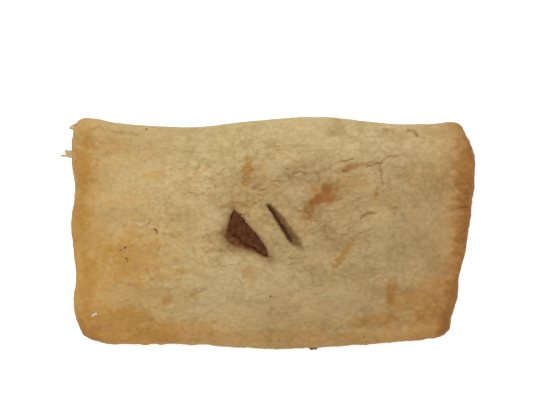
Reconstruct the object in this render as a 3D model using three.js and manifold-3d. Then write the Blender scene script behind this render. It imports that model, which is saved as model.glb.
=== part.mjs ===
// An oblong baked pasty, lying flat. Puff pastry is folded round a brown meat filling and sealed all
// round in a thick rim, inside which the lid swells into a long dome. Two slanting slashes in the lid
// let the steam out, and the left one has torn open into a triangle. Both show the filling, which
// runs right through the pasty.
//
// Units are millimetres. +X runs along the pasty, +Y across it and +Z up. The origin is the middle of
// the face that the pasty lies on.

import * as THREE from "three";
import { mergeVertices } from "three/addons/utils/BufferGeometryUtils.js";
import Module from "manifold-3d";

const wasm = await Module();
wasm.setup();

// Driving dimensions of the whole pasty.
const LENGTH = 152;
const WIDTH = 87.4;
const HEIGHT = 28;

// The crust. Its rim is a half round, flattened underneath where it lies on the tray.
const RIM_THICKNESS = 12; // height of the half round
const SHOULDER_INSET = 4; // from the outline in to the rim's top
const BASE_INSET = 2.4; // from the outline in to the edge of the base
const LID_THICKNESS = 4;
const BASE_THICKNESS = 3;
const PASTRY_WALL = 10; // solid pastry between the outline and the filling
const DOME_FULLNESS = 2; // how early the dome levels off, where 1 would be a straight slope
const DOME_FOOT = 0.15; // how softly it starts from the rim, as a share of the swell

const FILLING_GAP = 0.3; // between the filling and the crust all round

// How finely the skins are faceted.
const CRUST_SEGMENTS = 112;
const FILLING_SEGMENTS = 72;
const RIM_STEPS = 6;
const LID_STEPS = 11;
const CEILING_STEPS = 7;
const CROWDING = 1.3; // how much closer together the steps are near the rim

// The four sides of the outline, seen from above and followed anticlockwise, with the few places
// where each one turns. A side's seal is the flat width of its rim, and its swell is the distance in
// which the dome then rises to its full height.
const SIDES = {
  // The right end steps out near the front, and bulges near the back.
  right: {
    seal: 7,
    swell: 34,
    points: [
      [66, -36.2], [66.6, -30.5], [69.2, -24], [69.5, -17.5], [71.8, -8], [73.7, 5.4], [75.4, 18],
      [76, 27], [74.2, 33.8],
    ],
  },
  // The back side sags inwards twice.
  back: {
    seal: 3,
    swell: 34,
    points: [[68.8, 42], [58, 41], [42, 41.3], [17, 43.8], [-8, 42.2], [-28, 40], [-46, 40.3], [-60, 41.6]],
  },
  // The left end is wavy.
  left: {
    seal: 5,
    swell: 36,
    points: [
      [-75.6, 39.6], [-75.9, 27], [-74.7, 15], [-76.2, 3.5], [-74.3, -16.5], [-75.2, -26], [-73.8, -33],
    ],
  },
  // The front side bellies out in its middle.
  front: {
    seal: 5,
    swell: 32,
    points: [[-66, -40.9], [-56, -41.8], [-29, -41.9], [0, -43.6], [22, -42.6], [47, -40.8], [63, -38.8]],
  },
};

// Points that round the corners. The front right corner is too tight to need any.
const CORNERS = {
  right: [[71.6, 38.8]],
  back: [[-68, 43.3], [-73.6, 42.9]],
  left: [[-71.4, -39]],
  front: [],
};

// The two slashes, seen from above. Each was cut along a straight line that slants down to the right.
const TORN_VENT = [
  [-13.5, 7], [-7.9, 0.9], [-3.9, -4.4], [-1.6, -9.6], [-6.2, -7.4], [-11.7, -6.2], [-16.2, -4.9],
  [-17.4, -2], [-15, 1.7], [-14.6, 5.6],
];
const SLIT_VENT = [
  [-2.2, 8.8], [1.6, 2.9], [4.5, -2.2], [7.2, -5.3], [9.4, -6.1], [8.4, -2.8], [5.3, 1.5], [-1.6, 9.1],
];

/** The outline as one closed curve, with the middle of its box at the origin. */
function outlineCurve() {
  const turns = Object.keys(SIDES).flatMap((side) => [...SIDES[side].points, ...CORNERS[side]]);
  const points = turns.map(([x, y]) => new THREE.Vector3(x, y, 0));
  const curve = new THREE.CatmullRomCurve3(points, true, "catmullrom", 0.5);
  const middle = new THREE.Box3().setFromPoints(curve.getPoints(600)).getCenter(new THREE.Vector3());
  points.forEach((point) => point.sub(middle));
  return curve;
}

/** Where a side lies at one place along it. The places are on axis 0 for X or 1 for Y. */
function sideAt(points, axis, place) {
  const sorted = [...points].sort((a, b) => a[axis] - b[axis]);
  const after = sorted.findIndex((point) => point[axis] >= place);
  if (after === 0) return sorted[0][1 - axis];
  if (after < 0) return sorted[sorted.length - 1][1 - axis];
  const [from, to] = [sorted[after - 1], sorted[after]];
  const share = (place - from[axis]) / (to[axis] - from[axis]);
  return THREE.MathUtils.lerp(from[1 - axis], to[1 - axis], share);
}

/** Height of the lid's upper face over a point: the rim's, plus a dome that every side holds down. */
function lidHeight(x, y) {
  const inside = {
    right: sideAt(SIDES.right.points, 1, y) - x,
    left: x - sideAt(SIDES.left.points, 1, y),
    back: sideAt(SIDES.back.points, 0, x) - y,
    front: y - sideAt(SIDES.front.points, 0, x),
  };
  let dome = HEIGHT - RIM_THICKNESS;
  for (const side of Object.keys(SIDES)) {
    const { seal, swell } = SIDES[side];
    const share = THREE.MathUtils.clamp((inside[side] - seal) / swell, 0, 1);
    const eased = (Math.hypot(share, DOME_FOOT) - DOME_FOOT) / (Math.hypot(1, DOME_FOOT) - DOME_FOOT);
    dome *= 1 - (1 - eased) ** DOME_FULLNESS;
  }
  return RIM_THICKNESS + dome;
}

/**
 * A closed skin whose rings all have the shape of the outline, as a solid. A ring's inset is its
 * distance inside the outline and its share shrinks it towards the middle. Its height is a number or
 * a function of the place. Rings run from the middle of the base, round the rim and over the top.
 */
function skin(rings, segments) {
  const profile = rings.map((ring, level) => new THREE.Vector2(ring.share, level));
  const geometry = new THREE.LatheGeometry(profile, segments);
  const position = geometry.attributes.position;
  for (let i = 0; i < position.count; i++) {
    const ring = rings[i % rings.length];
    const column = Math.floor(i / rings.length) % segments;
    const edge = outline.getPointAt(column / segments);
    const x = edge.x * (1 - (2 * ring.inset) / LENGTH) * ring.share;
    const y = edge.y * (1 - (2 * ring.inset) / WIDTH) * ring.share;
    const height = typeof ring.height === "function" ? ring.height(x, y) : ring.height;
    position.setXYZ(i, x, y, height);
  }
  return solidOf(geometry);
}

/** Rings over the top of a skin, from its shoulder to its middle. */
function topRings(steps, inset, height) {
  const rings = [];
  for (let i = 0; i <= steps; i++) {
    rings.push({ share: 1 - (i / steps) ** CROWDING, inset, height });
  }
  return rings;
}

/** A closed three.js geometry as a manifold-3d solid. */
function solidOf(geometry) {
  const bare = geometry.clone();
  bare.deleteAttribute("normal");
  bare.deleteAttribute("uv");
  const merged = mergeVertices(bare, 1e-4);
  const mesh = new wasm.Mesh({
    numProp: 3,
    vertProperties: merged.attributes.position.array,
    triVerts: new Uint32Array(merged.index.array),
  });
  mesh.merge();
  return new wasm.Manifold(mesh);
}

/** A manifold-3d solid as a three.js geometry. */
function geometryOf(solid) {
  const mesh = solid.getMesh();
  const geometry = new THREE.BufferGeometry();
  geometry.setAttribute("position", new THREE.BufferAttribute(mesh.vertProperties, 3));
  geometry.setIndex(new THREE.BufferAttribute(mesh.triVerts, 1));
  geometry.computeVertexNormals();
  return geometry;
}

/** The crust's outside: a flat base, a half round rim and a domed lid. */
function crustOutside() {
  const rim = [];
  for (let i = 0; i < RIM_STEPS; i++) {
    const angle = (Math.PI * i) / RIM_STEPS;
    const round = angle < Math.PI / 2 ? BASE_INSET : SHOULDER_INSET;
    const height = (RIM_THICKNESS / 2) * (1 - Math.cos(angle));
    rim.push({ share: 1, inset: round * (1 - Math.sin(angle)), height });
  }
  const baseMiddle = { share: 0, inset: BASE_INSET, height: 0 };
  return skin([baseMiddle, ...rim, ...topRings(LID_STEPS, SHOULDER_INSET, lidHeight)], CRUST_SEGMENTS);
}

/** The space inside the crust, or with a gap the filling, which is smaller by it all round. */
function inside(gap) {
  const inset = PASTRY_WALL + gap;
  const floor = BASE_THICKNESS + gap;
  const ceiling = (x, y) => lidHeight(x, y) - LID_THICKNESS - gap;
  const base = [{ share: 0, inset, height: floor }, { share: 1, inset, height: floor }];
  return skin([...base, ...topRings(CEILING_STEPS, inset, ceiling)], FILLING_SEGMENTS);
}

/** An upright prism through the lid, down into the space inside. */
function ventCut(points) {
  const shape = new THREE.Shape(points.map(([x, y]) => new THREE.Vector2(x, y)));
  const bottom = HEIGHT - 3 * LID_THICKNESS;
  const prism = new THREE.ExtrudeGeometry(shape, { depth: HEIGHT - bottom + 1, bevelEnabled: false });
  return solidOf(prism.translate(0, 0, bottom));
}

/** A named mesh in one plain colour. */
function piece(name, solid, color, roughness) {
  const material = new THREE.MeshStandardMaterial({ color, roughness, metalness: 0 });
  const mesh = new THREE.Mesh(geometryOf(solid), material);
  mesh.name = name;
  return mesh;
}

const outline = outlineCurve();
const crust = crustOutside()
  .subtract(inside(0))
  .subtract(ventCut(TORN_VENT))
  .subtract(ventCut(SLIT_VENT));

const pasty = new THREE.Group();
pasty.add(piece("crust", crust, 0xb8955f, 0.7));
pasty.add(piece("filling", inside(FILLING_GAP), 0x5a3018, 0.4));

export default pasty;
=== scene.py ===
import math

import bmesh
import bpy
import numpy as np
from mathutils import Matrix, Vector, noise


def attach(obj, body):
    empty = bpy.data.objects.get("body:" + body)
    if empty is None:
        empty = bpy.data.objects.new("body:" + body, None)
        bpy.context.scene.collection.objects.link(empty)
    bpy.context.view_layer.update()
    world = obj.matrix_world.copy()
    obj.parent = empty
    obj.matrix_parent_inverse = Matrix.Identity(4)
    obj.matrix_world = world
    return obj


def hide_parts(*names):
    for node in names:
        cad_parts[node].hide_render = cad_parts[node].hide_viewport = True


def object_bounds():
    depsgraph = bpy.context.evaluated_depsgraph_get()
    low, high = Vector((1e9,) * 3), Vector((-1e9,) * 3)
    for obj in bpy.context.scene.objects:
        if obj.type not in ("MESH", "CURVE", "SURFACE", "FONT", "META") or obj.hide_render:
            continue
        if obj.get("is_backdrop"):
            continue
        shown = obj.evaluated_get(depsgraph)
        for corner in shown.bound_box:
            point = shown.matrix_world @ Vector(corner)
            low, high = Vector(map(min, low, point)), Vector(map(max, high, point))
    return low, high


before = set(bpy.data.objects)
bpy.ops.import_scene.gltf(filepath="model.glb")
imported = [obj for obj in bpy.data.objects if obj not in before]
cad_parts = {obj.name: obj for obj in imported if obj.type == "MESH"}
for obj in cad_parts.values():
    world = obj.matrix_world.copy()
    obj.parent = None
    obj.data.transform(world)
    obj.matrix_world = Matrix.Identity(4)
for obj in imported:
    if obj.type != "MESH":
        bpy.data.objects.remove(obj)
cad_low, cad_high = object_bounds()

# ---------------------------------------------------------------------------------------------
# The pastry case. A sheet of puff pastry is folded over the meat and pressed together all round.
# It bakes into a thick rim of thin leaves, a lid that swells up over the meat, and a flat base.
# Shapes are worked out in millimetres, and each mesh is scaled to metres when it is finished.
# ---------------------------------------------------------------------------------------------
MM = 0.001
RIM_THICKNESS = 12
SHOULDER_INSET = 4  # from the outline in to the rim's top
BASE_INSET = 2.4  # from the outline in to the edge of the base
LID_THICKNESS = 4
BASE_THICKNESS = 3
PASTRY_WALL = 10  # solid pastry between the outline and the meat
DOME_FULLNESS = 2  # how early the dome levels off, where 1 would be a straight slope
DOME_FOOT = 0.15  # how softly it starts from the rim, as a share of the swell
# Each side's flat rim and, inside it, the distance in which the lid swells to its full height.
RIMS = {"right": (7, 34), "back": (3, 34), "left": (5, 36), "front": (5, 32)}

LID_COLUMNS, LID_ROWS = 296, 168
RIM_ROWS = 38

size = np.array(cad_high - cad_low) / MM


def grain(places, lump, seed):
    """Smooth noise from -1 to 1 at each place. lump is how large its lumps are along X, Y and Z."""
    scaled = places / np.asarray(lump, float) + 31.7 * seed
    return np.array([noise.noise(place) for place in scaled.tolist()])


def soften(share):
    """0 below 0, 1 above 1, and an even ease between."""
    share = np.clip(share, 0, 1)
    return share * share * (3 - 2 * share)


def smooth_loop(values, reach):
    """Values round a closed loop, blurred over that many steps each way."""
    steps = np.arange(-3 * reach, 3 * reach + 1)
    weights = np.exp(-0.5 * (steps / reach) ** 2)
    wrapped = np.concatenate([values[-3 * reach:], values, values[:3 * reach]])
    return np.convolve(wrapped, weights / weights.sum(), "valid")


def frame_outline(count=2400):
    """The case's outline from above, anticlockwise: the widest ring of the frame's crust."""
    same = 0.01  # places closer than this are the same
    places = np.array([v.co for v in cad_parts["crust"].data.vertices]) / MM
    ring = places[np.abs(places[:, 2] - RIM_THICKNESS / 2) < same][:, :2]
    ring = ring[np.argsort(np.arctan2(ring[:, 1], ring[:, 0]))]
    ring = ring[np.linalg.norm(ring - np.roll(ring, 1, 0), axis=1) > same]
    closed = np.vstack([ring, ring[:1]])
    along = np.concatenate([[0], np.cumsum(np.linalg.norm(np.diff(closed, axis=0), axis=1))])
    even = np.linspace(0, along[-1], count, endpoint=False)
    return np.column_stack([smooth_loop(np.interp(even, along, closed[:, k]), 5) for k in (0, 1)])


outline = frame_outline()


def corner_index(right, back):
    """Where on the outline the corner towards +-X and +-Y is."""
    return int(np.argmax(right * outline[:, 0] / size[0] + back * outline[:, 1] / size[1]))


def side_run(start, end):
    """The outline's stretch from one corner on to the next."""
    length = (end - start) % len(outline)
    return outline[(start + np.arange(length + 1)) % len(outline)]


corners = {
    "front_right": corner_index(1, -1),
    "back_right": corner_index(1, 1),
    "back_left": corner_index(-1, 1),
    "front_left": corner_index(-1, -1),
}
sides = {
    "right": side_run(corners["front_right"], corners["back_right"]),
    "back": side_run(corners["back_right"], corners["back_left"]),
    "left": side_run(corners["back_left"], corners["front_left"]),
    "front": side_run(corners["front_left"], corners["front_right"]),
}


def along_run(run, shares):
    """Places at shares from 0 to 1 of a run's length."""
    along = np.concatenate([[0], np.cumsum(np.linalg.norm(np.diff(run, axis=0), axis=1))])
    return np.column_stack([np.interp(shares * along[-1], along, run[:, k]) for k in (0, 1)])


def fill_outline(u, v):
    """Spreads shares u along X and v along Y, each from 0 to 1, over the space in the outline."""
    front, back = along_run(sides["front"], u), along_run(sides["back"][::-1], u)
    left, right = along_run(sides["left"][::-1], v), along_run(sides["right"], v)
    front_left, front_right = sides["front"][0], sides["front"][-1]
    back_right, back_left = sides["back"][0], sides["back"][-1]
    u, v = u[:, None], v[:, None]
    from_sides = (1 - v) * front + v * back + (1 - u) * left + u * right
    from_corners = (1 - u) * (1 - v) * front_left + u * (1 - v) * front_right
    from_corners = from_corners + (1 - u) * v * back_left + u * v * back_right
    return from_sides - from_corners


def shrink(inset):
    """What the outline is multiplied by to lie that far inside itself."""
    return 1 - 2 * inset / size[:2]


def inside_of(x, y):
    """How far each place lies inside each side."""
    depths = {}
    for name, run in sides.items():
        axis = 1 if name in ("right", "left") else 0
        place = y if axis == 1 else x
        across = x if axis == 1 else y
        order = np.argsort(run[:, axis])
        edge = np.interp(place, run[order, axis], run[order, 1 - axis])
        depths[name] = edge - across if name in ("right", "back") else across - edge
    return depths


def lid_height(x, y):
    """Height of the smooth lid: the rim's, plus a dome that each side holds down."""
    dome = np.full(len(x), size[2] - RIM_THICKNESS)
    for name, depth in inside_of(x, y).items():
        rim, swell = RIMS[name]
        share = np.clip((depth - rim) / swell, 0, 1)
        eased = (np.hypot(share, DOME_FOOT) - DOME_FOOT) / (math.hypot(1, DOME_FOOT) - DOME_FOOT)
        dome = dome * (1 - (1 - eased) ** DOME_FULLNESS)
    return RIM_THICKNESS + dome


def pillow(columns, rows, inset, top):
    """A grid spread over the outline, that far inside it, with its height from top(x, y).

    Returns the bmesh and its edge vertices in order round the outline, anticlockwise."""
    bm = bmesh.new()
    bmesh.ops.create_grid(bm, x_segments=columns, y_segments=rows, size=1)
    shares = (np.array([v.co.xy for v in bm.verts]) + 1) / 2
    place = fill_outline(shares[:, 0], shares[:, 1]) * shrink(inset)
    height = top(place[:, 0], place[:, 1])
    for vert, (x, y), z in zip(bm.verts, place, height):
        vert.co = (x, y, z)
    ring = [v for v in bm.verts if v.is_boundary]
    ring.sort(key=lambda v: math.atan2(v.co.y, v.co.x))
    return bm, ring


def pull_down(bm, ring):
    """Extrudes one more ring from a ring of edge vertices, and returns it in the same order."""
    old = set(ring)
    edges = [e for e in bm.edges if e.is_boundary and e.verts[0] in old and e.verts[1] in old]
    made = bmesh.ops.extrude_edge_only(bm, edges=edges)["geom"]
    below = {}
    for vert in (g for g in made if isinstance(g, bmesh.types.BMVert)):
        for edge in vert.link_edges:
            if edge.other_vert(vert) in old:
                below[edge.other_vert(vert)] = vert
    return [below[v] for v in ring]


def close_base(bm, ring):
    """Fills the last ring with one flat face."""
    last = set(ring)
    edges = [e for e in bm.edges if e.is_boundary and e.verts[0] in last]
    bmesh.ops.contextual_create(bm, geom=edges)
    bmesh.ops.recalc_face_normals(bm, faces=bm.faces)


def distance_to(x, y, points, closed=False):
    """Distance of each place from a line through points."""
    ends = points[1:] + points[:1] if closed else points[1:]
    nearest = np.full(len(x), np.inf)
    for (ax, ay), (bx, by) in zip(points, ends):
        dx, dy = bx - ax, by - ay
        share = np.clip(((x - ax) * dx + (y - ay) * dy) / (dx * dx + dy * dy), 0, 1)
        nearest = np.minimum(nearest, np.hypot(x - ax - share * dx, y - ay - share * dy))
    return nearest


# The two slashes that let the steam out. Each has a mouth in the lid's surface, from which its lips
# sink to a throat that is open down to the meat. A straight cut made the right side of the torn one
# and the left side of the slit, which are steep, and the other sides have sagged. A stain has a
# strength and a reach, and fade is the share of the way down at which the lips have their full
# colour. The meat has its height above the lid's underside, its lumps' least and greatest radius,
# and how much higher they lie against the walls.
VENTS = {
    "torn": {
        "mouth": [
            (-14.6, 7.7), (-11.3, 4.3), (-7.9, 0.6), (-5.2, -2.5), (-3.3, -5.5), (-1.9, -8.1),
            (-0.4, -10.9), (-3.5, -9.7), (-6.4, -8.3), (-9.4, -7.6), (-12.3, -7.2), (-15.2, -6.1),
            (-17.8, -3.9), (-18.6, -1.6), (-17.6, 0.6), (-16.6, 2.5), (-16.3, 4.7), (-15.6, 6.4),
        ],
        "throat": [
            (-13.8, 6.5), (-11.1, 3.7), (-8.1, 0.1), (-5.6, -2.9), (-3.9, -5.7), (-2.8, -8.2),
            (-4.7, -6.8), (-6.8, -4.8), (-9, -3.4), (-11.1, -2.3), (-13.3, -0.8), (-14.8, 1.1),
            (-14.6, 4.1),
        ],
        "stain": (0.75, 1.1),
        "lips": (0.1, 0.039, 0.0125),
        "walls": (0.07, 0.022, 0.006),
        "fade": 0.25,
        "meat": (1.25, 1.1, 1.7, 0.6),
    },
    "slit": {
        "mouth": [
            (-2.8, 9.6), (-0.6, 6.5), (1, 3.7), (2.9, 0.2), (5.1, -3.3), (7.2, -5.8), (9.4, -7.2),
            (11.3, -8.2), (11.3, -6.1), (10.2, -3.1), (7.9, -0.3), (5.7, 2.4), (2.7, 5.8),
            (-1, 9.5),
        ],
        "throat": [
            (-2.1, 8.7), (-0.1, 5.9), (1.6, 3.2), (3.5, 0), (5.6, -2.9), (6.6, -4), (6.8, -3.8),
            (5.9, -2.2), (4.2, 0.3), (2.4, 3.2), (0.7, 5.8), (-1.6, 8.7),
        ],
        "stain": (0.16, 0.9),
        "lips": (0.118, 0.07, 0.024),
        "walls": (0.11, 0.058, 0.016),
        "fade": 0.35,
        "meat": (0.9, 0.6, 0.8, 0),
    },
}
LIP_DROP = 2  # from the lid's surface down to the throat's edge
LIP_CURVE = 0.8  # how evenly the lips sink, where 1 would be a straight slope
MOUTH_DIP, MOUTH_DIP_REACH = 0.5, 1.1  # how the surface dips towards a mouth

# Creases and cracks in the lid: the line each follows, its depth and its width. A negative depth is
# the raised edge of a fold.
CREASES = [
    ([(20.7, 23.5), (25, 25.7), (29.4, 26.5)], 0.4, 0.35),
    ([(33.8, 24.9), (39.8, 25.9), (42.6, 27.3), (48.1, 28.4)], 0.4, 0.35),
    ([(22.9, 21.8), (27.8, 22.1), (33.8, 23.4), (39.6, 25.3)], 0.7, 0.4),
    ([(24.5, 20.4), (29.4, 20.9), (34.2, 22.1), (40, 24)], -0.55, 0.9),
    ([(-0.6, 18), (2.6, 18.8), (6, 20.4), (9.7, 21.5), (15.5, 21), (20.7, 22.6)], 0.45, 0.4),
    ([(3, 17.2), (8.5, 18.3), (13, 18)], -0.35, 1.2),
    ([(5.8, 22.6), (12.7, 23.6), (18, 25.6)], 0.3, 0.35),
    ([(39, 24.4), (39.8, 20.8), (39.8, 16.4), (40.4, 13.1)], 0.3, 0.3),
    ([(22.3, 10.9), (27.2, 11.7), (31.6, 11.4)], 0.35, 0.3),
    ([(29.4, 3.2), (33.8, 5.9), (39.3, 6.2), (43.7, 8.1), (48.1, 8.7)], 0.5, 0.4),
    ([(32, 3.6), (36, 4.6), (41, 5)], -0.35, 1),
    ([(40.9, 38.9), (44.2, 37.4)], 0.5, 0.35),
    ([(48.2, 37.8), (52.1, 37.4), (54.1, 35.8), (56.6, 35.2)], 0.5, 0.35),
    ([(66.5, 8.6), (69, 8.4), (72.5, 9)], 0.55, 0.4),
    ([(-34.1, -30.8), (-28.3, -32.6), (-21.4, -33.6)], 0.2, 0.9),
    ([(-15.6, -34.5), (-8, -35), (3, -35.2), (11.7, -34.3)], 0.22, 0.9),
    ([(16.6, -33.8), (22.4, -32.6), (27.3, -31)], 0.2, 0.8),
    ([(-47.8, -29.1), (-45.8, -32.2), (-41.4, -34.7)], 0.35, 0.6),
    ([(-73, 38.6), (-66, 38.9), (-58, 37.4), (-50, 36.2)], 0.35, 0.5),
    ([(-46.6, -13.3), (-45.4, -16.6), (-43.8, -18)], 0.35, 0.35),
    ([(-25.3, 31.2), (-20.5, 29.2), (-15.6, 29.6)], 0.25, 0.45),
    ([(-58.5, 24.3), (-52.6, 23), (-46.8, 23.4)], 0.22, 0.5),
    ([(-66, 10), (-56.5, 7.4), (-49.7, 7.8)], 0.2, 0.5),
    ([(-19.5, 8.4), (-15.6, 8.9), (-11.7, 9.5), (-7.8, 8.8)], 0.35, 0.45),
    ([(-8.8, 16), (-4.7, 14.6), (0, 15.8)], 0.35, 0.4),
    ([(-31.2, -19.5), (-27.8, -22.4), (-24.4, -21.1)], 0.3, 0.4),
    ([(6.8, -10.2), (10.1, -9.8), (14.1, -10.4)], 0.3, 0.35),
    ([(5.8, -14.1), (9.8, -14.8), (14.6, -14.3)], 0.3, 0.35),
    ([(22.4, -1), (28.3, -1.6), (35.1, 0.2)], 0.3, 0.4),
    ([(42.9, -6.8), (49.7, -5.5), (56.5, -6.8)], 0.22, 0.5),
    ([(21.4, -15.6), (29.2, -17.6), (37, -16.6)], 0.25, 0.4),
    ([(50.7, 25.3), (56.5, 24), (63, 26.4)], 0.2, 0.5),
]


def within(x, y, points):
    """Which places lie inside a closed outline."""
    odd = np.zeros(len(x), bool)
    for (ax, ay), (bx, by) in zip(points, points[1:] + points[:1]):
        if ay != by:
            odd ^= ((ay > y) != (by > y)) & (x < (bx - ax) * (y - ay) / (by - ay) + ax)
    return odd


def lip_share(x, y, vent):
    """How far down a slash's lips each place is, from 0 at the mouth to 1 at the throat."""
    places = np.column_stack([x, y, 0 * x])
    x = x + 0.5 * grain(places, (1.6, 1.6, 3), 20)
    y = y + 0.5 * grain(places, (1.6, 1.6, 3), 21)
    outer = distance_to(x, y, vent["mouth"], closed=True)
    inner = distance_to(x, y, vent["throat"], closed=True)
    inner = np.where(within(x, y, vent["throat"]), 0, inner)
    return np.where(within(x, y, vent["mouth"]), outer / (outer + inner + 1e-6), 0)


def lip_distance(x, y, vent):
    """Distance of each place outside a slash's mouth."""
    return np.where(within(x, y, vent["mouth"]), 0, distance_to(x, y, vent["mouth"], closed=True))


def crease_marks(x, y):
    """How deep the creases are at each place, and how far each place lies in one, from 0 to 1,
    which sets how browned and how darkened with painted shade it is.
    """
    places = np.column_stack([x, y, 0 * x])
    x = x + 0.8 * grain(places, (3, 3, 3), 40) + 0.35 * grain(places, (1.1, 1.1, 3), 43)
    y = y + 0.8 * grain(places, (3, 3, 3), 41) + 0.35 * grain(places, (1.1, 1.1, 3), 44)
    broken = soften(0.75 + 1.2 * grain(places, (4, 2.4, 2), 42))
    depth, mark = np.zeros(len(x)), np.zeros(len(x))
    for points, deep, wide in CREASES:
        near = np.exp(-((distance_to(x, y, points) / wide) ** 2)) * broken
        depth += deep * near
        if deep > 0:
            mark = np.maximum(mark, near * min(1, max(0, deep / wide - 0.3)))
    return depth, mark


def flaky_steps(places, seed):
    """Height from 0 to 1 of the torn top leaves of the pastry, which end in small ragged steps."""
    warped = np.array(places, float)
    warped[:, 0] += 2.2 * grain(places, (6, 4, 4), seed + 1)
    warped[:, 1] += 1.4 * grain(places, (5, 3, 4), seed + 2)
    level = 4 * (0.5 + 0.9 * grain(warped, (19, 7, 8), seed))
    return (np.floor(level) + soften((level % 1 - 0.4) / 0.2)) / 4


def puffs(places):
    """Small cushions of pastry, 1 in their middles and 0 in the furrows between them."""
    warped = places / np.array((5.2, 3.3, 4))
    warped[:, 0] += 0.45 * grain(places, (3, 3, 3), 24)
    warped[:, 1] += 0.45 * grain(places, (3, 3, 3), 25)
    nearest = np.array([noise.voronoi(place)[0][:2] for place in warped.tolist()])
    swollen = soften(0.45 + 1.5 * grain(places, (22, 14, 9), 26)) * soften((places[:, 0] + 75) / 45)
    return 1 - swollen * (1 - soften((nearest[:, 1] - nearest[:, 0]) / 0.32))


RELIEF_DROP = 0.9  # keeps the highest blisters near the lid's true height


def lid_relief(x, y):
    """What roughens the lid: swells, blisters, torn leaves, streaks, meal, lips and creases."""
    places = np.column_stack([x, y, 0 * x])
    swells = 0.5 * grain(places, (34, 22, 9), 1) + 0.24 * grain(places, (12, 9, 9), 2)
    blisters = 0.36 * soften((grain(places, (8, 5.5, 5), 3) - 0.12) / 0.4)
    leaves = 0.4 * flaky_steps(places, 4)
    streaks = -0.06 * (1 - np.abs(grain(places, (8, 2.4, 3), 8))) ** 4
    meal = 0.08 * grain(places, (1.5, 1.4, 2), 9)
    lips = np.zeros(len(x))
    for vent in VENTS.values():
        sunk = LIP_DROP * lip_share(x, y, vent) ** LIP_CURVE
        lips -= sunk + MOUTH_DIP * np.exp(-lip_distance(x, y, vent) / MOUTH_DIP_REACH)
    cushions = 0.26 * puffs(places)
    edge = np.minimum.reduce(list(inside_of(x, y).values()))
    near_rim = np.exp(-np.clip(edge - SHOULDER_INSET, 0, None) / 9)
    rim_waves = 1.5 * grain(places, (21, 21, 9), 5) * near_rim
    roughness = swells + blisters + leaves + streaks + meal + cushions - crease_marks(x, y)[0]
    return roughness + rim_waves + lips - RELIEF_DROP


def lid_surface(x, y):
    """Height of the lid as it is seen."""
    return lid_height(x, y) + lid_relief(x, y)


# The lid: the smooth form, roughened, out to the shoulder of the rim.
case_bm, ring = pillow(LID_COLUMNS, LID_ROWS, SHOULDER_INSET, lid_surface)
rim_xy = np.array([v.co.xy for v in ring]) / shrink(SHOULDER_INSET)
rim_top = np.array([v.co.z for v in ring])

# Which way is outward all round the rim, from each place's neighbours.
tangent = np.roll(rim_xy, -3, 0) - np.roll(rim_xy, 3, 0)
tangent = np.column_stack([smooth_loop(tangent[:, k], 4) for k in (0, 1)])
outward = np.column_stack([tangent[:, 1], -tangent[:, 0]])
outward /= np.linalg.norm(outward, axis=1)[:, None]

# The rim: the top leaf bends over it, and below that thin leaves have baked apart. They stand out
# by different amounts, run together and break off, and they wander up and down along the side.
# Along the back the sheet was folded over, so its leaves hardly show there.
LEAF_PITCH = 1.45
LEAF_REACH = 0.4  # how far an average leaf's face stands out
LEAF_SETBACK = 0.75  # how far the gaps between leaves lie inside the smooth form
ROW_CROWDING = 0.4  # how much closer the rows of the mesh lie at the rim's top and foot
FOLD_REACH = 5  # how far the back fold reaches in from the outline
FOLD_COVER = 0.85  # how much of its leaves the fold hides
FOLD_END, FOLD_FADE = 3, 8  # where it ends before each end of the case, and how gradually
back_fold = np.exp(-((np.clip(inside_of(*rim_xy.T)["back"], 0, None) / FOLD_REACH) ** 2))
back_fold *= soften((0.5 * size[0] - FOLD_END - np.abs(rim_xy[:, 0])) / FOLD_FADE)
leaf_marks = []
for row in range(1, RIM_ROWS + 1):
    ring = pull_down(case_bm, ring)
    left_over = 1 - row / RIM_ROWS
    share = (1 - ROW_CROWDING) * left_over
    share += ROW_CROWDING * (1 - math.cos(math.pi * left_over)) / 2
    angle = math.acos(1 - 2 * share)
    inset = (BASE_INSET if share < 0.5 else SHOULDER_INSET) * (1 - math.sin(angle))
    height = share * rim_top
    xy = rim_xy * shrink(inset)
    where = np.column_stack([xy, height])
    wave = 1.5 * grain(where, (19, 19, 9), 50) + 0.4 * grain(where, (4, 4, 3), 51)
    level = height / LEAF_PITCH + wave
    leaf, part = np.floor(level), level % 1
    stick_out = 0.3 + 0.6 * grain(np.column_stack([xy, 9.7 * leaf]), (8, 8, 3), 52)
    stick_out += 0.3 * grain(np.column_stack([xy, 5.1 * leaf]), (1.7, 1.7, 3), 53)
    leaf_face = np.sqrt(np.clip(np.sin(math.pi * part), 0, 1))
    below_top_leaf = float(soften((0.8 - share) / 0.25))
    bare = (1 - FOLD_COVER * back_fold) * below_top_leaf * math.sin(angle) ** 0.6
    push = bare * (leaf_face * (LEAF_REACH + stick_out) - LEAF_SETBACK)
    push += 0.2 * math.sin(angle) * grain(where, (6, 6, 5), 54)
    xy = xy + outward * push[:, None]
    for vert, (x, y), z in zip(ring, xy, height):
        vert.co = (x, y, z)
    leaf_marks.append(np.column_stack([leaf_face, bare, stick_out]))

# The base lies flat on the tray, with shallow hollows where steam held it off.
BASE_SHARES = (0.93, 0.8, 0.62, 0.42, 0.2)
HOLLOW_DEPTH = 0.3
base_edge = np.array([v.co.xy for v in ring])
for share in BASE_SHARES:
    ring = pull_down(case_bm, ring)
    xy = base_edge * share
    hollows = soften(grain(np.column_stack([xy, 0 * xy[:, 0]]), (9, 7, 5), 55) / 0.5)
    for vert, (x, y), z in zip(ring, xy, HOLLOW_DEPTH * hollows):
        vert.co = (x, y, z)
close_base(case_bm, ring)

case_mesh = bpy.data.meshes.new("pastry_case")
case_bm.to_mesh(case_mesh)
case_bm.free()
case = bpy.data.objects.new("pastry_case", case_mesh)
bpy.context.scene.collection.objects.link(case)
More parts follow.
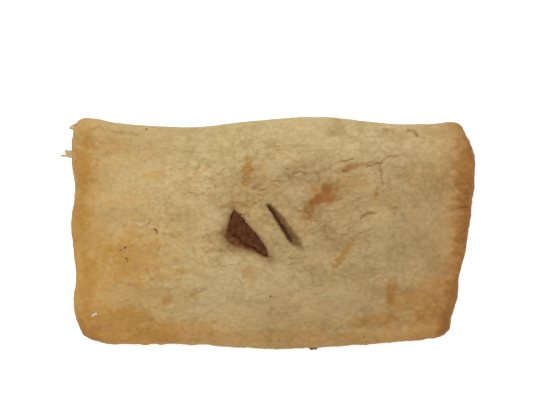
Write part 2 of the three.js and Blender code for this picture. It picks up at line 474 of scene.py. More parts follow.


# How the case has baked, with painted light and shade laid in, as one colour at each point. Each
# pigment is laid over the last.
PALE = (0.318, 0.243, 0.12)
# dull khaki: a duller bake, and partly painted shade on the middle and right
KHAKI_AND_SHADE = (0.236, 0.17, 0.078)
GOLD = (0.285, 0.158, 0.038)
RUST = (0.28, 0.13, 0.034)
BROWN = (0.17, 0.072, 0.018)
# dark brown, painted shade in the creases and at the throats' edges
DARK_SHADE = (0.08, 0.028, 0.008)
STAIN = (0.12, 0.06, 0.02)  # pastry that gravy has soaked
LEAF_GAP = (0.36, 0.25, 0.1)  # pale pastry between the rim's leaves
WARMTH = (0.8, 1.05, 1.5)  # how fast red, green and blue fall as the pastry darkens

# Patches that baked more: each one's middle, half length, half width and turn in degrees, and how
# much gold and how much brown it adds.
PATCHES = [
    ((-50, -11.5), 17, 12, 0, 0.42, 0.14),
    ((-57, -33), 15, 7, 0, 0.4, 0.24),
    ((-70.5, 25), 15, 5, 90, 0.5, 0.2),
    ((-71.5, 6), 9, 4.5, 90, 0.4, 0.12),
    ((-69, -20), 18, 3.5, 90, 0.3, 0.14),
    ((-9.5, 22), 7, 2.6, 84, 0.9, 0.36),
    ((-4.9, 20.4), 5, 3, 80, 0.25, 0.08),
    ((18.8, 13.2), 6, 5.8, 0, 0.3, 0.52),
    ((16, 11), 4, 2.8, 20, 0.1, 0.56),
    ((19.2, 15), 4, 2.2, 75, 0.15, 0.36),
    ((22, 11.4), 4.4, 1.8, 5, 0, 0.3),
    ((13, 6.8), 5.4, 2.4, 66, 0.4, 0.6),
    ((27.3, 17), 10, 5, 10, 0.15, 0.2),
    ((25.7, -7.9), 8, 1.6, 56, 0.6, 0.42),
    ((72, 24), 15, 5.5, 88, 0.6, 0.5),
    ((71.8, 4), 16, 6, 84, 0.45, 0.7),
    ((66.5, -27), 14, 6, 84, 0.5, 0.55),
    ((66, -36), 8, 5, 10, 0.3, 0.35),
    ((52.6, -25.4), 14, 8, 10, 0.5, 0.24),
    ((43.5, -22), 5.5, 2.6, 80, 0.5, 0.5),
    ((37, -33), 11, 2.8, 6, 0.35, 0.34),
    ((57.5, -31.2), 7, 3.5, 0, 0.3, 0.3),
    ((-43.3, 20.7), 5, 2.4, 10, 0.4, 0),
    ((-61, 31.2), 9, 4, 0, 0.2, 0.06),
    ((-24.7, 23.7), 2, 1.2, 70, 0.3, 0.16),
    ((-31, 3), 10, 13, 0, 0.08, 0.12),
    ((-8.6, -15.3), 3.6, 3, 0, 0.45, 0.1),
    ((-8.3, -20), 1.4, 1.8, 0, 0.3, 0.2),
    ((37.4, 13.4), 3.4, 1, 78, 0.4, 0.42),
    ((28.3, 23.3), 7, 1.7, 14, 0.2, 0.62),
    ((-29.4, -23.1), 2.6, 1.4, 30, 0.3, 0.3),
    ((-39, -25.4), 3, 2, 0, 0.35, 0.16),
    ((3.9, -28.3), 7, 3, 0, 0.12, 0.1),
    ((0, -39), 60, 3, 0, 0.1, 0.16),
    ((-36, -37), 21, 5, 4, 0.45, 0.24),
    ((-18, -1), 9, 6, 40, 0.1, 0.12),
    ((3, 2), 4, 2.6, 30, 0.05, 0.06),
    ((50.7, 20.4), 6, 3, 0, 0.2, 0.03),
    ((0, 14.1), 6, 1.4, 10, 0.1, 0.22),
    ((-14.1, 9.3), 7, 1.6, 8, 0.1, 0.28),
    ((-13, 13), 24, 10, 0, 0.02, 0.1),
    ((-27, 2), 13, 9, 0, 0.02, 0.08),
    ((31, 12), 19, 8, 0, 0.04, 0.12),
    ((-71, -38), 9, 6, 0, 0.2, 0.3),
    ((68, -37), 9, 6, 0, 0.5, 0.42),
]


def patch_cover(places, patch):
    """How much one baked patch covers each place. Its edges are ragged and it fades outwards."""
    (px, py), long, wide, turn, _, _ = patch
    turn = math.radians(turn)
    x, y = places[:, 0], places[:, 1]
    along = ((x - px) * math.cos(turn) + (y - py) * math.sin(turn)) / long
    across = (-(x - px) * math.sin(turn) + (y - py) * math.cos(turn)) / wide
    near = np.hypot(along, across) < 2
    cover = np.zeros(len(x))
    ragged = 0.5 * grain(places[near], (5, 3, 3), 60 + px)
    ragged += 0.4 * grain(places[near], (1.9, 1.2, 1.5), 61 + py)
    ragged *= 0.4 + 0.6 * min(1, wide / 5)
    cover[near] = soften((1.15 - np.hypot(along, across)[near] + ragged) / 0.8)
    return cover


def blend(under, over, share):
    """Lays one colour over others, by a share at each place."""
    return under + (np.asarray(over) - under) * np.clip(share, 0, 1)[:, None]


def plain_colour(colour, count):
    """One colour, that many times."""
    return np.tile(np.asarray(colour, float), (count, 1))


def edge_glow(depths, side, reach):
    """How near each place is to one side, from 1 at it to 0 well inside."""
    return np.exp(-np.clip(depths[side], 0, None) / reach)


def golden_end(x):
    """How far each place is into the golden left end."""
    return soften((-24 - x) / 34)


def mottles(places):
    """Broad, middling, fine and mealy unevenness of the baking. The golden end is smoother."""
    broad, middling = grain(places, (16, 11, 9), 70), grain(places, (6, 4.2, 4), 71)
    fine, mealy = grain(places, (1.9, 1.4, 1.8), 72), grain(places, (1.1, 0.9, 1), 73)
    return broad, middling, fine * (1 - 0.4 * golden_end(places[:, 0])), mealy


def pigment_shares(places, broad, middling, fine, mealy):
    """How much khaki, gold, rust and brown covers each place.

    The left end is golden, the middle is dull khaki, partly a duller bake and partly painted shade
    where the dome turns from the light, the right and front edges are rusty brown, and the back is
    pale."""
    x, y = places[:, 0], places[:, 1]
    depths = inside_of(x, y)
    # Partly painted shade: the middle and right are duller and darker, as where the dome turns from
    # the light.
    khaki = soften((x + 34) / 44) * soften((38 - y) / 22)
    khaki = khaki * (0.8 + 0.4 * grain(places, (13, 8, 9), 74))
    khaki += 0.1 * grain(places, (4.2, 3, 3), 75)

    gold = 0.03 + 0.5 * golden_end(x) * (0.5 + 0.5 * soften((16 - y) / 30))
    gold += 0.2 * broad + 0.2 * middling + 0.06 * fine
    gold += 0.5 * edge_glow(depths, "left", 9) + 0.45 * edge_glow(depths, "front", 7)
    gold -= 0.16 * edge_glow(depths, "back", 12) * soften((x + 45) / 20)

    rust = (0.85 + 0.3 * broad) * edge_glow(depths, "right", 9)
    rust += 0.2 * edge_glow(depths, "front", 5)

    brown = 0.02 + 0.16 * soften((middling + fine - 0.25) / 0.6) + 0.1 * np.clip(mealy, 0, 1)
    brown += (0.36 + 0.3 * middling) * edge_glow(depths, "right", 6)
    brown += (0.22 + 0.2 * middling) * edge_glow(depths, "front", 5)
    brown += 0.24 * edge_glow(depths, "left", 4) + 0.06 * edge_glow(depths, "back", 2)
    for patch in PATCHES:
        cover = patch_cover(places, patch)
        gold = gold + cover * patch[4]
        brown = brown + cover * patch[5]
    return khaki, gold, rust, brown


def soaked_and_shaded_slashes(colour, flat, middling, fine):
    """Stains the pastry round each slash's mouth and soaks its lips, darkest down at the throat,
    partly from gravy and partly as painted shade.
    """
    x, y = flat[:, 0], flat[:, 1]
    fibres = grain(flat, (0.5, 1.6, 2), 76)
    ragged = np.clip(1 + 0.7 * fine + 0.5 * middling, 0, 2)
    for vent in VENTS.values():
        strength, reach = vent["stain"]
        share, distance = lip_share(x, y, vent), lip_distance(x, y, vent)
        stained = strength * np.exp(-distance / reach) * ragged * (share == 0)
        colour = blend(colour, STAIN, stained)
        lips = np.array(vent["lips"]) * (1 + 0.35 * fibres + 0.2 * fine)[:, None]
        colour = blend(colour, lips, (share > 0) * (0.35 + 0.65 * soften(share / vent["fade"])))
        # Painted shade, with gravy: the lips darken to the walls' colour down towards the throat.
        colour = blend(colour, vent["walls"], 0.85 * soften((share - 0.3) / 0.7))
    return colour


def baked_and_shaded_colours(places):
    """The baked colour of the lid at each place, with its painted light and shade, and how crazed
    with fine cracks it is.
    """
    x, y = places[:, 0], places[:, 1]
    flat = np.column_stack([x, y, 0 * x])
    broad, middling, fine, mealy = mottles(places)
    colour = plain_colour(PALE, len(x))
    shares = pigment_shares(places, broad, middling, fine, mealy)
    for pigment, share in zip((KHAKI_AND_SHADE, GOLD, RUST, BROWN), shares):
        colour = blend(colour, pigment, share)
    _, crease_shade = crease_marks(x, y)
    # The creases are browned, and darkened with painted shade.
    colour = blend(colour, BROWN, 0.7 * crease_shade)
    colour = blend(colour, DARK_SHADE, 0.4 * crease_shade * soften(0.5 + 1.5 * fine))

    # Painted light: the torn leaves and the middles of the cushions are made lighter, as if they
    # catch the light, and the furrows between the cushions darker. The middle of the lid is the
    # roughest.
    crazing = 0.15 + 0.85 * np.exp(-(((x - 4) / 44) ** 2) - ((y - 3) / 27) ** 2)
    roughness = 0.8 + 0.6 * crazing
    painted_light_and_mottle = 0.81 + 0.13 * flaky_steps(flat, 4) + roughness * (0.13 * middling + 0.12 * fine)
    painted_light_and_mottle = painted_light_and_mottle * (1 + 0.17 * puffs(flat))
    colour *= np.clip(painted_light_and_mottle, 0.2, 2)[:, None] ** WARMTH
    return soaked_and_shaded_slashes(colour, flat, middling, fine), crazing


case_places = np.array([v.co for v in case_mesh.vertices])
case_colours, case_crazing = baked_and_shaded_colours(case_places)

# On the rim the leaves' edges are golden brown, and the gaps between them show paler pastry,
# with painted shade deep in them. The base is evenly brown from the tray, and darker round its
# edge.
rim_start = (LID_COLUMNS + 1) * (LID_ROWS + 1)
base_start = rim_start + RIM_ROWS * len(base_edge)
rim_part = slice(rim_start, base_start)
leaf_face, bare, stick_out = np.vstack(leaf_marks).T
rim_colours = case_colours[rim_part]
rim_spots = grain(case_places[rim_part], (5, 5, 1.6), 77)
rim_colours = blend(rim_colours, GOLD, bare * (0.3 + 0.6 * rim_spots))
rim_colours = blend(rim_colours, LEAF_GAP, bare * (0.9 - leaf_face + 0.4 * rim_spots))
leaf_browning = 0.12 + 0.6 * np.clip(stick_out - 0.3, 0, 1)
rim_colours = blend(rim_colours, BROWN, bare * leaf_face * leaf_browning)
# Painted shade in the gaps between the leaves.
rim_colours *= (1 - 0.35 * bare * soften((0.35 - leaf_face) / 0.35))[:, None]
low_edge = soften((3 - case_places[rim_part, 2]) / 3)
case_colours[rim_part] = blend(rim_colours, BROWN, 0.45 * low_edge * (1 + rim_spots))
case_crazing[rim_part] *= 1 - bare
base_spots = grain(case_places[base_start:], (6, 5, 3), 78)
base_colours = blend(plain_colour(GOLD, len(base_spots)), BROWN, 0.35 + 0.5 * base_spots)
case_colours[base_start:] = base_colours


def paint(mesh, colours, crazing):
    """Stores a colour at each point of a mesh, with how crazed the pastry is there as its alpha."""
    layer = mesh.attributes.new("baked", "FLOAT_COLOR", "POINT")
    layer.data.foreach_set("color", np.column_stack([colours, crazing]).astype(np.float32).ravel())


paint(case_mesh, case_colours, case_crazing)


# What is cut from the case: the space for the meat, and the two throats down to it.
def cutter(name, bm, colour):
    """A closed mesh to be cut from the case, whose faces leave their colours there."""
    bmesh.ops.recalc_face_normals(bm, faces=bm.faces)
    mesh = bpy.data.meshes.new(name)
    bm.to_mesh(mesh)
    bm.free()
    places = np.array([v.co for v in mesh.vertices])
    paint(mesh, colour(places), np.zeros(len(places)))
    tool = bpy.data.objects.new(name, mesh)
    bpy.context.scene.collection.objects.link(tool)
    return tool


def hollow_top(x, y):
    """Underside of the lid."""
    return lid_height(x, y) - LID_THICKNESS


def damp_pastry(places):
    """Pastry soaked by the gravy."""
    return plain_colour(STAIN, len(places))


def throat_walls(places):
    """Colour of a throat's walls: dark brown, partly painted shade down in the slash, and unevenly
    stained with gravy.
    """
    near_slit = distance_to(places[:, 0], places[:, 1], VENTS["slit"]["throat"], closed=True) < 1
    colours = plain_colour(VENTS["torn"]["walls"], len(places))
    colours = blend(colours, VENTS["slit"]["walls"], near_slit)
    return colours * (1 + 0.3 * grain(places, (2.5, 2.5, 0.7), 80))[:, None]


HOLLOW_COLUMNS, HOLLOW_ROWS = 60, 34
hollow_bm, ring = pillow(HOLLOW_COLUMNS, HOLLOW_ROWS, PASTRY_WALL, hollow_top)
ring = pull_down(hollow_bm, ring)
for vert in ring:
    vert.co.z = BASE_THICKNESS
close_base(hollow_bm, ring)
tools = [cutter("hollow", hollow_bm, damp_pastry)]

WALL_STEPS = 6
WALL_RAGGEDNESS = 0.2
THROAT_FOOT = size[2] - 2.6 * LID_THICKNESS
THROAT_HEIGHT = 3 * LID_THICKNESS  # well past the lid above and below
for name, vent in VENTS.items():
    bm = bmesh.new()
    top_face = bm.faces.new([bm.verts.new((x, y, THROAT_FOOT)) for x, y in vent["throat"]])
    bmesh.ops.subdivide_edges(bm, edges=bm.edges[:], cuts=3)
    for level in range(WALL_STEPS):
        made = bmesh.ops.extrude_face_region(bm, geom=[top_face])["geom"]
        if level > 0:
            bmesh.ops.delete(bm, geom=[top_face], context="FACES_ONLY")
        top_face = next(g for g in made if isinstance(g, bmesh.types.BMFace))
        bmesh.ops.translate(bm, verts=top_face.verts[:], vec=(0, 0, THROAT_HEIGHT / WALL_STEPS))
    places = np.array([v.co for v in bm.verts])
    ragged_x, ragged_y = grain(places, (0.9, 0.9, 1.5), 81), grain(places, (0.9, 0.9, 1.5), 82)
    for vert, right, back in zip(bm.verts, ragged_x, ragged_y):
        vert.co.xy += WALL_RAGGEDNESS * Vector((right, back))
    tools.append(cutter(name, bm, throat_walls))

for tool in tools:
    cut = case.modifiers.new(tool.name, "BOOLEAN")
    cut.operation = "DIFFERENCE"
    cut.solver = "MANIFOLD"
    cut.object = tool
cut_case = case.evaluated_get(bpy.context.evaluated_depsgraph_get())
cut_mesh = bpy.data.meshes.new_from_object(cut_case)
case.modifiers.clear()
case.data = cut_mesh
bpy.data.meshes.remove(case_mesh)
cut_mesh.name = "pastry_case"
for tool in tools:
    bpy.data.meshes.remove(tool.data)

# The cut's own new points, along the throats' edges, are still white, and take the dark brown of
# the painted shade there.
WHITE = 0.9  # no pastry has that much red
layer = cut_mesh.attributes["baked"]
colours = np.empty(4 * len(cut_mesh.vertices), np.float32)
layer.data.foreach_get("color", colours)
colours = colours.reshape(-1, 4)
colours[colours[:, 0] > WHITE] = (*DARK_SHADE, 0)
layer.data.foreach_set("color", colours.ravel())
cut_mesh.transform(Matrix.Scale(MM, 4))
cut_mesh.polygons.foreach_set("use_smooth", [True] * len(cut_mesh.polygons))


def map_range(nodes, links, source, low, high, to_low, to_high):
    """Stretches one range of a value to another, held at its ends."""
    node = nodes.new("ShaderNodeMapRange")
    node.inputs["From Min"].default_value = low
    node.inputs["From Max"].default_value = high
    node.inputs["To Min"].default_value = to_low
    node.inputs["To Max"].default_value = to_high
    links.new(source, node.inputs["Value"])
    return node.outputs["Result"]


def multiply(nodes, links, *values):
    """The product of several values, some of which may be plain numbers."""
    product = values[0]
    for value in values[1:]:
        node = nodes.new("ShaderNodeMath")
        node.operation = "MULTIPLY"
        links.new(product, node.inputs[0])
        if isinstance(value, (int, float)):
            node.inputs[1].default_value = value
        else:
            links.new(value, node.inputs[1])
        product = node.outputs["Value"]
    return product


def noise_texture(nodes, links, vector, scale, detail, roughness=0.5):
    """A noise texture over a vector. Its scale is in lumps to the metre."""
    node = nodes.new("ShaderNodeTexNoise")
    node.inputs["Scale"].default_value = scale
    node.inputs["Detail"].default_value = detail
    node.inputs["Roughness"].default_value = roughness
    links.new(vector, node.inputs["Vector"])
    return node


def mix_colour(nodes, links, factor, under, over, blend_type="MIX"):
    """Lays one colour over another by a factor, which may be a plain number."""
    node = nodes.new("ShaderNodeMix")
    node.data_type = "RGBA"
    node.blend_type = blend_type
    sockets = (node.inputs["Factor"], node.inputs[6], node.inputs[7])  # 6 and 7 take the colours
    for value, socket in zip((factor, under, over), sockets):
        if isinstance(value, (int, float, tuple)):
            socket.default_value = value
        else:
            links.new(value, socket)
    return node.outputs[2]


def bumped(nodes, links, height, strength, distance):
    """A bump in the surface by a height from 0 to 1. Its distance is in millimetres."""
    node = nodes.new("ShaderNodeBump")
    node.inputs["Strength"].default_value = strength
    node.inputs["Distance"].default_value = distance * MM
    links.new(height, node.inputs["Height"])
    return node


def new_material(name, specular):
    """A new material, with its nodes, its links and its shader."""
    material = bpy.data.materials.new(name)
    material.use_nodes = True
    nodes, links = material.node_tree.nodes, material.node_tree.links
    shader = nodes["Principled BSDF"]
    shader.inputs["Specular IOR Level"].default_value = specular
    return material, nodes, links, shader


def baked_pastry():
    """Baked pastry: each point's colour, mealy and mottled, crazed with fine cracks darkened by
    painted shade, and dull.
    """
    material, nodes, links, shader = new_material("baked_pastry", 0.08)
    place = nodes.new("ShaderNodeTexCoord")
    baked = nodes.new("ShaderNodeAttribute")
    baked.attribute_name = "baked"

    # The pastry was rolled one way, so its grain is longer along X.
    rolled = nodes.new("ShaderNodeMapping")
    rolled.inputs["Scale"].default_value = (0.72, 1, 1)
    links.new(place.outputs["Object"], rolled.inputs["Vector"])
    mottle = noise_texture(nodes, links, rolled.outputs["Vector"], 800, 4, 0.62)
    mealy = map_range(nodes, links, mottle.outputs["Fac"], 0.3, 0.7, 0, 1)
    tone = mix_colour(nodes, links, mealy, (0.84, 0.79, 0.68, 1), (1.11, 1.13, 1.17, 1))
    depth = map_range(nodes, links, baked.outputs["Alpha"], 0, 1, 0.6, 1)
    toned = mix_colour(nodes, links, depth, baked.outputs["Color"], tone, "MULTIPLY")

    # Fine cracks wander between the flakes of the top leaf, in some places and not in others.
    wander = noise_texture(nodes, links, place.outputs["Object"], 260, 3)
    strayed = nodes.new("ShaderNodeVectorMath")
    strayed.operation = "MULTIPLY_ADD"
    strayed.inputs[1].default_value = (6 * MM, 4 * MM, 4 * MM)
    links.new(wander.outputs["Color"], strayed.inputs[0])
    links.new(rolled.outputs["Vector"], strayed.inputs[2])
    flakes = nodes.new("ShaderNodeTexVoronoi")
    flakes.feature = "DISTANCE_TO_EDGE"
    flakes.inputs["Scale"].default_value = 330
    links.new(strayed.outputs["Vector"], flakes.inputs["Vector"])
    gap = map_range(nodes, links, flakes.outputs["Distance"], 0, 0.1, 1, 0)
    where = noise_texture(nodes, links, rolled.outputs["Vector"], 110, 3)
    shown = map_range(nodes, links, where.outputs["Fac"], 0.43, 0.57, 0, 1)
    breaks = noise_texture(nodes, links, rolled.outputs["Vector"], 420, 2)
    broken = map_range(nodes, links, breaks.outputs["Fac"], 0.46, 0.58, 0, 1)
    crack = multiply(nodes, links, gap, shown, broken, baked.outputs["Alpha"])
    faded = multiply(nodes, links, crack, 0.75)
    # Painted shade darkens the cracks.
    coloured = mix_colour(nodes, links, faded, toned, (0.1, 0.05, 0.016, 1))
    links.new(coloured, shader.inputs["Base Color"])
    dullness = map_range(nodes, links, mottle.outputs["Fac"], 0, 1, 0.6, 0.88)
    links.new(dullness, shader.inputs["Roughness"])

    # The surface feels mealy, and the cracks are sunk into it.
    meal = noise_texture(nodes, links, rolled.outputs["Vector"], 1500, 3)
    crumbly = bumped(nodes, links, meal.outputs["Fac"], 0.4, 0.1)
    cracked = bumped(nodes, links, crack, 0.5, 0.15)
    cracked.invert = True
    links.new(crumbly.outputs["Normal"], cracked.inputs["Normal"])
    links.new(cracked.outputs["Normal"], shader.inputs["Normal"])
    return material


pastry = baked_pastry()
cut_mesh.materials.clear()
cut_mesh.materials.append(pastry)
cut_mesh.polygons.foreach_set("material_index", np.zeros(len(cut_mesh.polygons), np.int32))
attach(case, "root")
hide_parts("crust")

# ---------------------------------------------------------------------------------------------
# The filling. Minced meat in thick gravy runs through the whole case and shows in both slashes.
# It stands 0.3 mm clear of the pastry, and loose lumps of mince are heaped in the open throats.
# ---------------------------------------------------------------------------------------------
FILLING_GAP = 0.3
MEAT_LUMPINESS = 0.9
MEAT_COLUMNS, MEAT_ROWS = 190, 110


def meat_top(x, y):
    """Upper face of the meat: lumpy, and never as high as the pastry's underside."""
    places = np.column_stack([x, y, 0 * x])
    lumps = np.abs(grain(places, (2.6, 2.2, 2), 90)) + 0.5 * np.abs(grain(places, (1.1, 1, 1), 91))
    return hollow_top(x, y) - FILLING_GAP - MEAT_LUMPINESS * lumps


def finished(name, bm, material):
    """Scales a mesh to metres and makes it a smooth piece of the pasty."""
    bmesh.ops.transform(bm, matrix=Matrix.Scale(MM, 4), verts=bm.verts)
    mesh = bpy.data.meshes.new(name)
    bm.to_mesh(mesh)
    bm.free()
    mesh.polygons.foreach_set("use_smooth", [True] * len(mesh.polygons))
    mesh.materials.append(material)
    piece = bpy.data.objects.new(name, mesh)
    bpy.context.scene.collection.objects.link(piece)
    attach(piece, "root")
    return piece


def minced_meat():
    """Cooked mince in gravy: dark red brown, lighter on the strands of meat, with a wet film."""
    material, nodes, links, shader = new_material("minced_meat", 0.06)
    place = nodes.new("ShaderNodeTexCoord")
    strands = noise_texture(nodes, links, place.outputs["Object"], 700, 5)
    strands.inputs["Distortion"].default_value = 0.6
    tint = nodes.new("ShaderNodeValToRGB")
    tint.color_ramp.elements[0].position = 0.38
    tint.color_ramp.elements[0].color = (0.04, 0.012, 0.003, 1)
    tint.color_ramp.elements[1].position = 0.72
    tint.color_ramp.elements[1].color = (0.085, 0.026, 0.007, 1)
    links.new(strands.outputs["Fac"], tint.inputs["Fac"])
    links.new(tint.outputs["Color"], shader.inputs["Base Color"])
    wetness = map_range(nodes, links, strands.outputs["Fac"], 0, 1, 0.35, 0.65)
    links.new(wetness, shader.inputs["Roughness"])
    bump = bumped(nodes, links, strands.outputs["Fac"], 0.6, 0.2)
    links.new(bump.outputs["Normal"], shader.inputs["Normal"])
    return material


mince = minced_meat()
meat_bm, ring = pillow(MEAT_COLUMNS, MEAT_ROWS, PASTRY_WALL + FILLING_GAP, meat_top)
meat_edge = [v.co.z for v in ring]
for level in (0.66, 0.33, 0):
    ring = pull_down(meat_bm, ring)
    for vert, top in zip(ring, meat_edge):
        vert.co.z = BASE_THICKNESS + FILLING_GAP + level * (top - BASE_THICKNESS - FILLING_GAP)
close_base(meat_bm, ring)
meat = finished("meat_filling", meat_bm, mince)
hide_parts("filling")


def lump(bm, place, radius, flatness, seed, roughness=0.35):
    """Adds one rounded, uneven lump to a mesh."""
    ball = bmesh.ops.create_icosphere(bm, subdivisions=2, radius=1)["verts"]
    stretch = np.array((1.25, 0.85, flatness)) * radius
    turn = Matrix.Rotation(2.4 * seed, 3, "Z")
    for vert in ball:
        swell = 1 + roughness * noise.noise(1.4 * vert.co + Vector((7.3 * seed, 0, 0)))
        vert.co = turn @ Vector(np.array(vert.co) * stretch * swell) + Vector(place)


# The lumps of mince fill each throat and press against its walls. Small bits of it also cling to
# the sagging lips of the torn slash.
LUMP_CROWDING = 0.8  # from one lump to the next, in radii
LUMP_FLATNESS = 0.55
BIT_FLATNESS = 0.5
CLINGING_BITS = 160
draw = np.random.default_rng(5)
mince_bm = bmesh.new()
for vent in VENTS.values():
    rise, least, most, wall_rise = vent["meat"]
    pitch = LUMP_CROWDING * (least + most) / 2
    low, high = np.min(vent["throat"], axis=0) - 1, np.max(vent["throat"], axis=0) + 1
    columns, rows = np.arange(low[0], high[0], pitch), np.arange(low[1], high[1], pitch)
    spots = np.array(np.meshgrid(columns, rows)).reshape(2, -1).T
    spots = spots + pitch * draw.uniform(-0.35, 0.35, spots.shape)
    wall = distance_to(spots[:, 0], spots[:, 1], vent["throat"], closed=True)
    filled = within(spots[:, 0], spots[:, 1], vent["throat"]) | (wall < 0.6 * least)
    for spot, gap in zip(spots[filled], wall[filled]):
        radius = draw.uniform(least, most)
        height = hollow_top(*spot[:, None])[0] + rise + draw.uniform(0, 0.25)
        height += wall_rise * math.exp(-gap / least)
        lump(mince_bm, (*spot, height), radius, LUMP_FLATNESS, draw.uniform(0, 50))

low, high = np.min(VENTS["torn"]["mouth"], axis=0), np.max(VENTS["torn"]["mouth"], axis=0)
spots = draw.uniform(low, high, (6 * CLINGING_BITS, 2))  # more than are kept
down = lip_share(spots[:, 0], spots[:, 1], VENTS["torn"])
clinging = (down > 0.15) & (down < 1) & (draw.uniform(0, 1, len(spots)) < down)
spots = spots[clinging][:CLINGING_BITS]
for spot, height in zip(spots, lid_surface(spots[:, 0], spots[:, 1])):
    radius = draw.uniform(0.2, 0.5)
    lump(mince_bm, (*spot, height - 0.1), radius, BIT_FLATNESS, draw.uniform(0, 50), 0.8)
finished("mince_lumps", mince_bm, mince)

# ---------------------------------------------------------------------------------------------
# Loose leaves. Scraps of the pastry's top leaf have lifted: one from the lid, pale underneath, and
# two that stick out of the left end. Each is a thin closed sheet of pastry.
# ---------------------------------------------------------------------------------------------
SCRAP_THICKNESS = 0.35


def pale_pastry():
    """Inner pastry that hardly browned, matte and mealy."""
    material, nodes, links, shader = new_material("pale_pastry", 0.25)
    shader.inputs["Roughness"].default_value = 0.8
    place = nodes.new("ShaderNodeTexCoord")
    mottle = noise_texture(nodes, links, place.outputs["Object"], 900, 4)
    blush = map_range(nodes, links, mottle.outputs["Fac"], 0.35, 0.65, 0, 1)
    tint = mix_colour(nodes, links, blush, (0.27, 0.18, 0.07, 1), (0.33, 0.25, 0.125, 1))
    links.new(tint, shader.inputs["Base Color"])
    bump = bumped(nodes, links, mottle.outputs["Fac"], 0.5, 0.1)
    links.new(bump.outputs["Normal"], shader.inputs["Normal"])
    return material


def scrap(bm, shape, under):
    """Adds a thin closed sheet of pastry, whose underside lies at under(x, y)."""
    face = bm.faces.new([bm.verts.new((x, y, 0)) for x, y in shape])
    parts = set(bmesh.ops.triangulate(bm, faces=[face])["faces"])
    edges = [e for e in bm.edges if parts & set(e.link_faces)]
    cut = bmesh.ops.subdivide_edges(bm, edges=edges, cuts=2)
    edges = {g for g in cut["geom"] if isinstance(g, bmesh.types.BMEdge)}
    lower = [f for f in bm.faces if edges & set(f.edges)]
    verts = [v for v in bm.verts if set(lower) & set(v.link_faces)]
    places = np.array([v.co for v in verts])
    heights = under(places[:, 0], places[:, 1]) + 0.12 * grain(places, (1.1, 1.1, 1), 95)
    for vert, height in zip(verts, heights):
        vert.co.z = height
    upper = bmesh.ops.extrude_face_region(bm, geom=lower)["geom"]
    upper = [g for g in upper if isinstance(g, bmesh.types.BMVert)]
    bmesh.ops.translate(bm, verts=upper, vec=(0, 0, SCRAP_THICKNESS))


flaked = pale_pastry()
end_bm = bmesh.new()
scrap(
    end_bm,
    [(-74.6, 31), (-77.3, 30.8), (-78.3, 31.3), (-78.4, 30.1), (-78, 29.3), (-79.9, 29.2),
     (-80, 28.5), (-78.1, 28.4), (-76.4, 28), (-74.6, 28.2)],
    lambda x, y: 7.6 + 0.12 * (x + 75) + 0.25 * np.sin(1.8 * y),
)
scrap(
    end_bm,
    [(-74.2, 41), (-76, 40.2), (-77, 39.1), (-76.2, 38.7), (-74.4, 38.2)],
    lambda x, y: 8.4 + 0.2 * (x + 75),
)
bmesh.ops.recalc_face_normals(end_bm, faces=end_bm.faces)
finished("end_flakes", end_bm, flaked)

lid_bm = bmesh.new()
scrap(
    lid_bm,
    [(-50.7, 3.5), (-49.3, 3.1), (-47.2, 3.3), (-45.4, 3.9), (-44.9, 3.1), (-46, 2.3), (-47.2, 2),
     (-48.2, 1.1), (-49.6, 1.8)],
    lambda x, y: lid_surface(x, y) - 0.15 + 0.3 * soften((y - 2.5) / 2),
)
bmesh.ops.recalc_face_normals(lid_bm, faces=lid_bm.faces)
finished("lid_flakes", lid_bm, flaked)

# ---------------------------------------------------------------------------------------------
# Crumbs. Small burnt specks have baked on to the lid and a larger one on to the front edge, and
# one crumb of white flour lies near the front left corner.
# ---------------------------------------------------------------------------------------------
def plain_crumb(name, dark, light):
    """Dry crumb, unevenly coloured between two tones."""
    material, nodes, links, shader = new_material(name, 0.1)
    shader.inputs["Roughness"].default_value = 0.75
    place = nodes.new("ShaderNodeTexCoord")
    mottle = noise_texture(nodes, links, place.outputs["Object"], 1800, 3)
    tint = mix_colour(nodes, links, mottle.outputs["Fac"], dark, light)
    links.new(tint, shader.inputs["Base Color"])
    return material


burnt = plain_crumb("burnt_crumb", (0.04, 0.016, 0.005, 1), (0.1, 0.045, 0.015, 1))
floury = plain_crumb("floury_crumb", (0.37, 0.29, 0.17, 1), (0.45, 0.38, 0.25, 1))


def on_lid(x, y, above):
    """A place at that height above the lid's surface."""
    return x, y, lid_surface(np.array([x], float), np.array([y], float))[0] + above


# Where each burnt speck lies on the lid, and its radius.
SPECKS = [
    (-47.4, 38.4, 0.25), (-54.3, -6, 0.34), (-56.2, -7, 0.26), (-53.9, -10, 0.32),
    (-53.6, -10.8, 0.22), (-1.3, -23.8, 0.32), (33.6, -39.2, 0.25), (-33.9, -35.8, 0.22),
    (-43.6, 0.6, 0.25), (-43, 0.4, 0.3), (-42.5, -0.1, 0.3), (-42.3, -0.8, 0.25), (4.9, 22.8, 0.22),
]
speck_bm = bmesh.new()
for seed, (x, y, radius) in enumerate(SPECKS):
    lump(speck_bm, on_lid(x, y, 0.15 * radius), radius, 0.5, 3.1 * seed, 0.8)
finished("burnt_specks", speck_bm, burnt)

edge_bm = bmesh.new()
for x, y, z, radius in ((14, -43.1, 4.6, 0.8), (15.5, -43.2, 4.3, 0.75), (14.8, -43, 3.8, 0.7)):
    lump(edge_bm, (x, y, z), radius, 0.8, x, 0.7)
finished("edge_crumb", edge_bm, burnt)

flour_bm = bmesh.new()
for x, y, radius in ((-66.7, -30.7, 0.55), (-65.9, -30.4, 0.45), (-67.3, -31.2, 0.35)):
    lump(flour_bm, on_lid(x, y, 0.2 * radius), radius, 0.5, x, 0.7)
finished("flour_crumb", flour_bm, floury)

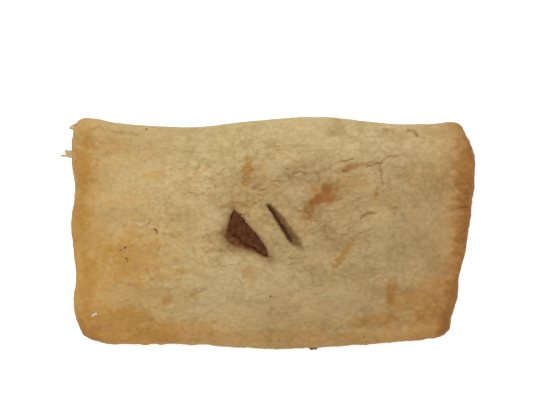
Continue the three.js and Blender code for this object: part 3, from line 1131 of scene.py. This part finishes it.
# ---------------------------------------------------------------------------------------------
# The table, the light and the camera. The table is white and glows a little, so that the pasty's
# shadow on it stays faint.
# ---------------------------------------------------------------------------------------------
TABLE_WIDTH = 4
bpy.ops.mesh.primitive_plane_add(size=TABLE_WIDTH)
table = bpy.context.object
table.name = "table"
paper = bpy.data.materials.new("white_paper")
paper.use_nodes = True
shader = paper.node_tree.nodes["Principled BSDF"]
shader.inputs["Base Color"].default_value = (0.93, 0.93, 0.93, 1)
shader.inputs["Roughness"].default_value = 0.9
shader.inputs["Emission Color"].default_value = (1, 1, 1, 1)
shader.inputs["Emission Strength"].default_value = 0.15
table.data.materials.append(paper)
table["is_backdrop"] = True

world = bpy.data.worlds.new("soft_sky")
bpy.context.scene.world = world
world.use_nodes = True
sky = world.node_tree.nodes["Background"]
sky.inputs["Color"].default_value = (1, 1, 1, 1)
sky.inputs["Strength"].default_value = 1.4

for name, spot, width, watts in (
    ("window", (-0.5, 0.55, 0.9), 0.9, 7.0),
    ("bounce", (0.6, -0.7, 0.8), 0.9, 1.0),
):
    lamp = bpy.data.lights.new(name, "AREA")
    lamp.size = width
    lamp.energy = watts
    lamp_object = bpy.data.objects.new(name, lamp)
    lamp_object.location = spot
    lamp_object.rotation_euler = (-Vector(spot)).to_track_quat("-Z", "Y").to_euler()
    bpy.context.scene.collection.objects.link(lamp_object)

bpy.context.scene.view_settings.view_transform = "Standard"

CAMERA_DISTANCE = 0.62
CAMERA_TILT = 3.0  # degrees from straight down
VIEW_WIDTH = 0.2025  # at the aim, from side to side of the picture
aim = Vector((-0.0013, 0.0112, 0.008))
camera = bpy.data.objects.new("camera", bpy.data.cameras.new("camera"))
bpy.context.scene.collection.objects.link(camera)
tilt = math.radians(CAMERA_TILT)
camera.location = aim + CAMERA_DISTANCE * Vector((0, -math.sin(tilt), math.cos(tilt)))
camera.rotation_euler = (tilt, 0, 0)
camera.data.lens = camera.data.sensor_width * CAMERA_DISTANCE / VIEW_WIDTH
camera.data.clip_start = 0.01
bpy.context.scene.camera = camera

low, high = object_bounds()
